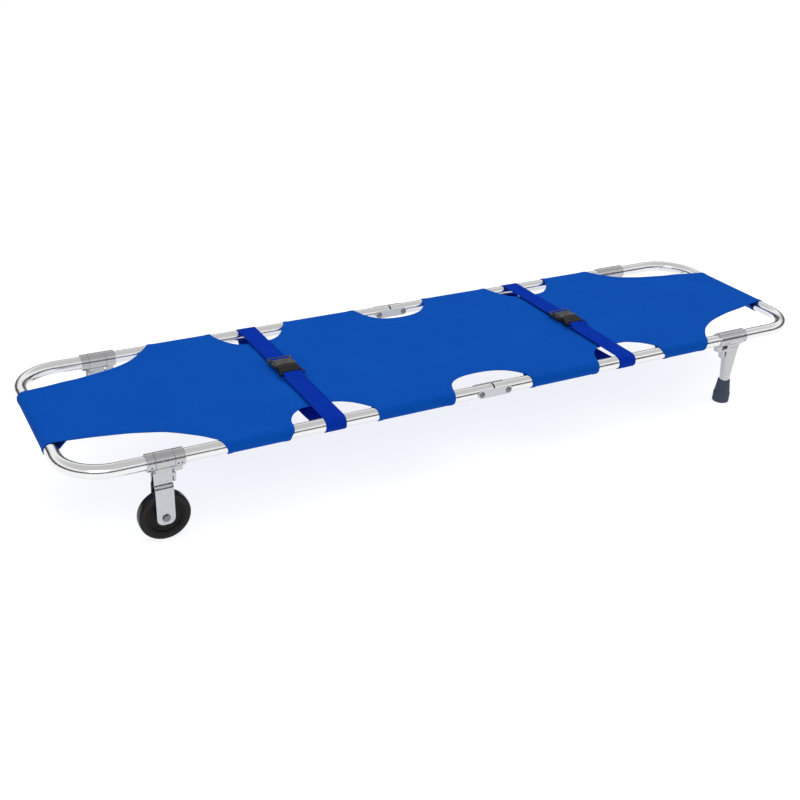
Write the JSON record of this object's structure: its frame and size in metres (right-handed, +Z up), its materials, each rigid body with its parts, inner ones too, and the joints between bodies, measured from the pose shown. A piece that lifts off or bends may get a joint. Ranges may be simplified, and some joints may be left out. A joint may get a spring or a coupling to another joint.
{
  "type": "folding stretcher",
  "caption": "Fold-in-half patient stretcher: bent tube frame with a cloth sling, buckled straps, folding wheels at one end and folding legs at the other.",
  "frame": {"origin": "on the ground under the centre of the open stretcher", "axes": "+X along the stretcher towards the feet, +Y from the near rail to the far rail, +Z up"},
  "size_m": [2.0836, 0.5844, 0.2231],
  "materials": {
    "rail_aluminium": "drawn tube, satin polish",
    "cast_aluminium": "tumbled die casting, semi-matte",
    "zinc_steel": "bright zinc plate",
    "screw_steel": "black oxide steel",
    "plug_nylon": "moulded nylon",
    "sling_cloth": "coated woven polyester",
    "strap_webbing": "woven polypropylene webbing",
    "buckle_plastic": "moulded acetal, fine satin",
    "hub_plastic": "moulded nylon, gloss",
    "tyre_rubber": "hard rubber, slight gloss",
    "foot_rubber": "moulded rubber, matte"
  },
  "bodies": {
    "wheel_end_half": {"wheel_end_tube": "rail_aluminium", "wheel_end_hinge_plugs": "plug_nylon", "wheel_end_sling": "sling_cloth", "wheel_end_set_screws": "screw_steel", "near_wheel_collar_outer": "cast_aluminium", "near_wheel_collar_inner": "cast_aluminium", "far_wheel_collar_outer": "cast_aluminium", "far_wheel_collar_inner": "cast_aluminium", "strap_1_webbing": "strap_webbing", "strap_1_buckle_socket": "buckle_plastic", "strap_1_buckle_plug": "buckle_plastic"},
    "centre_links": {"near_hinge_links": "zinc_steel", "far_hinge_links": "zinc_steel", "hinge_bolts": "zinc_steel", "centre_sling": "sling_cloth"},
    "foot_end_half": {"foot_end_tube": "rail_aluminium", "foot_end_hinge_plugs": "plug_nylon", "foot_end_sling": "sling_cloth", "foot_end_set_screws": "screw_steel", "near_leg_collar_outer": "cast_aluminium", "near_leg_collar_inner": "cast_aluminium", "far_leg_collar_outer": "cast_aluminium", "far_leg_collar_inner": "cast_aluminium", "strap_2_webbing": "strap_webbing", "strap_2_buckle_socket": "buckle_plastic", "strap_2_buckle_plug": "buckle_plastic"},
    "near_wheel_bracket": {"near_wheel_sleeve": "cast_aluminium", "near_fork_plate_outer": "zinc_steel", "near_fork_plate_inner": "zinc_steel", "near_axle_bolt": "zinc_steel", "near_axle_nut": "zinc_steel", "near_axle_bush": "zinc_steel", "near_wheel_latch_pin": "zinc_steel"},
    "near_wheel": {"near_wheel_hub": "hub_plastic", "near_wheel_tyre": "tyre_rubber"},
    "near_wheel_latch_lever": {"near_wheel_latch": "zinc_steel"},
    "near_leg_body": {"near_leg": "cast_aluminium", "near_foot": "foot_rubber", "near_leg_latch_pin": "zinc_steel"},
    "near_leg_latch_lever": {"near_leg_latch": "zinc_steel"},
    "far_wheel_bracket": {"far_wheel_sleeve": "cast_aluminium", "far_fork_plate_outer": "zinc_steel", "far_fork_plate_inner": "zinc_steel", "far_axle_bolt": "zinc_steel", "far_axle_nut": "zinc_steel", "far_axle_bush": "zinc_steel", "far_wheel_latch_pin": "zinc_steel"},
    "far_wheel": {"far_wheel_hub": "hub_plastic", "far_wheel_tyre": "tyre_rubber"},
    "far_wheel_latch_lever": {"far_wheel_latch": "zinc_steel"},
    "far_leg_body": {"far_leg": "cast_aluminium", "far_foot": "foot_rubber", "far_leg_latch_pin": "zinc_steel"},
    "far_leg_latch_lever": {"far_leg_latch": "zinc_steel"},
    "strap_1_left_prong_body": {"strap_1_prong_left": "buckle_plastic"},
    "strap_1_right_prong_body": {"strap_1_prong_right": "buckle_plastic"},
    "strap_2_left_prong_body": {"strap_2_prong_left": "buckle_plastic"},
    "strap_2_right_prong_body": {"strap_2_prong_right": "buckle_plastic"}
  },
  "joints": [
    {"name": "fold_wheel_side", "type": "hinge", "parent": "wheel_end_half", "child": "centre_links", "pos_m": [-0.0376, 0, 0.192], "axis": [0, 1, 0], "range_deg": [0, 90]},
    {"name": "fold_foot_side", "type": "hinge", "parent": "centre_links", "child": "foot_end_half", "pos_m": [0.0376, 0, 0.192], "axis": [0, 1, 0], "range_deg": [0, 90]},
    {"name": "near_wheel_fold", "type": "hinge", "parent": "wheel_end_half", "child": "near_wheel_bracket", "pos_m": [-0.828, -0.269, 0.192], "axis": [1, 0, 0], "range_deg": [0, 85]},
    {"name": "near_wheel_spin", "type": "hinge", "parent": "near_wheel_bracket", "child": "near_wheel", "pos_m": [-0.828, -0.269, 0.058], "axis": [0, 1, 0], "continuous": true},
    {"name": "near_wheel_latch_press", "type": "hinge", "parent": "near_wheel_bracket", "child": "near_wheel_latch_lever", "pos_m": [-0.801, -0.269, 0.1568], "axis": [0, -1, 0], "range_deg": [0, 8], "stiffness_Nm_per_rad": 0.2, "springref_deg": -8.59},
    {"name": "near_leg_fold", "type": "hinge", "parent": "foot_end_half", "child": "near_leg_body", "pos_m": [0.7835, -0.269, 0.192], "axis": [1, 0, 0], "range_deg": [0, 85]},
    {"name": "near_leg_latch_pull", "type": "hinge", "parent": "near_leg_body", "child": "near_leg_latch_lever", "pos_m": [0.7555, -0.269, 0.163], "axis": [0, 1, 0], "range_deg": [0, 12], "stiffness_Nm_per_rad": 0.3, "springref_deg": -8.59},
    {"name": "far_wheel_fold", "type": "hinge", "parent": "wheel_end_half", "child": "far_wheel_bracket", "pos_m": [-0.828, 0.269, 0.192], "axis": [-1, 0, 0], "range_deg": [0, 85]},
    {"name": "far_wheel_spin", "type": "hinge", "parent": "far_wheel_bracket", "child": "far_wheel", "pos_m": [-0.828, 0.269, 0.058], "axis": [0, 1, 0], "continuous": true},
    {"name": "far_wheel_latch_press", "type": "hinge", "parent": "far_wheel_bracket", "child": "far_wheel_latch_lever", "pos_m": [-0.801, 0.269, 0.1568], "axis": [0, -1, 0], "range_deg": [0, 8], "stiffness_Nm_per_rad": 0.2, "springref_deg": -8.59},
    {"name": "far_leg_fold", "type": "hinge", "parent": "foot_end_half", "child": "far_leg_body", "pos_m": [0.7835, 0.269, 0.192], "axis": [-1, 0, 0], "range_deg": [0, 85]},
    {"name": "far_leg_latch_pull", "type": "hinge", "parent": "far_leg_body", "child": "far_leg_latch_lever", "pos_m": [0.7555, 0.269, 0.163], "axis": [0, 1, 0], "range_deg": [0, 12], "stiffness_Nm_per_rad": 0.3, "springref_deg": -8.59},
    {"name": "strap_1_left_prong_squeeze", "type": "slide", "parent": "wheel_end_half", "child": "strap_1_left_prong_body", "axis": [1, 0, 0], "range_m": [0, 0.0025], "stiffness_N_per_m": 4000, "springref_m": -0.001},
    {"name": "strap_1_right_prong_squeeze", "type": "slide", "parent": "wheel_end_half", "child": "strap_1_right_prong_body", "axis": [-1, 0, 0], "range_m": [0, 0.0025], "stiffness_N_per_m": 4000, "springref_m": -0.001},
    {"name": "strap_2_left_prong_squeeze", "type": "slide", "parent": "foot_end_half", "child": "strap_2_left_prong_body", "axis": [1, 0, 0], "range_m": [0, 0.0025], "stiffness_N_per_m": 4000, "springref_m": -0.001},
    {"name": "strap_2_right_prong_squeeze", "type": "slide", "parent": "foot_end_half", "child": "strap_2_right_prong_body", "axis": [-1, 0, 0], "range_m": [0, 0.0025], "stiffness_N_per_m": 4000, "springref_m": -0.001}
  ],
  "couplings": [
    {"joint": "fold_foot_side", "follows": "fold_wheel_side", "ratio": 1},
    {"joint": "near_wheel_fold", "follows": "fold_wheel_side", "ratio": 0.94444},
    {"joint": "near_leg_fold", "follows": "fold_wheel_side", "ratio": 0.94444},
    {"joint": "far_wheel_fold", "follows": "fold_wheel_side", "ratio": 0.94444},
    {"joint": "far_leg_fold", "follows": "fold_wheel_side", "ratio": 0.94444},
    {"joint": "strap_1_right_prong_squeeze", "follows": "strap_1_left_prong_squeeze", "ratio": 1},
    {"joint": "strap_2_right_prong_squeeze", "follows": "strap_2_left_prong_squeeze", "ratio": 1}
  ]
}
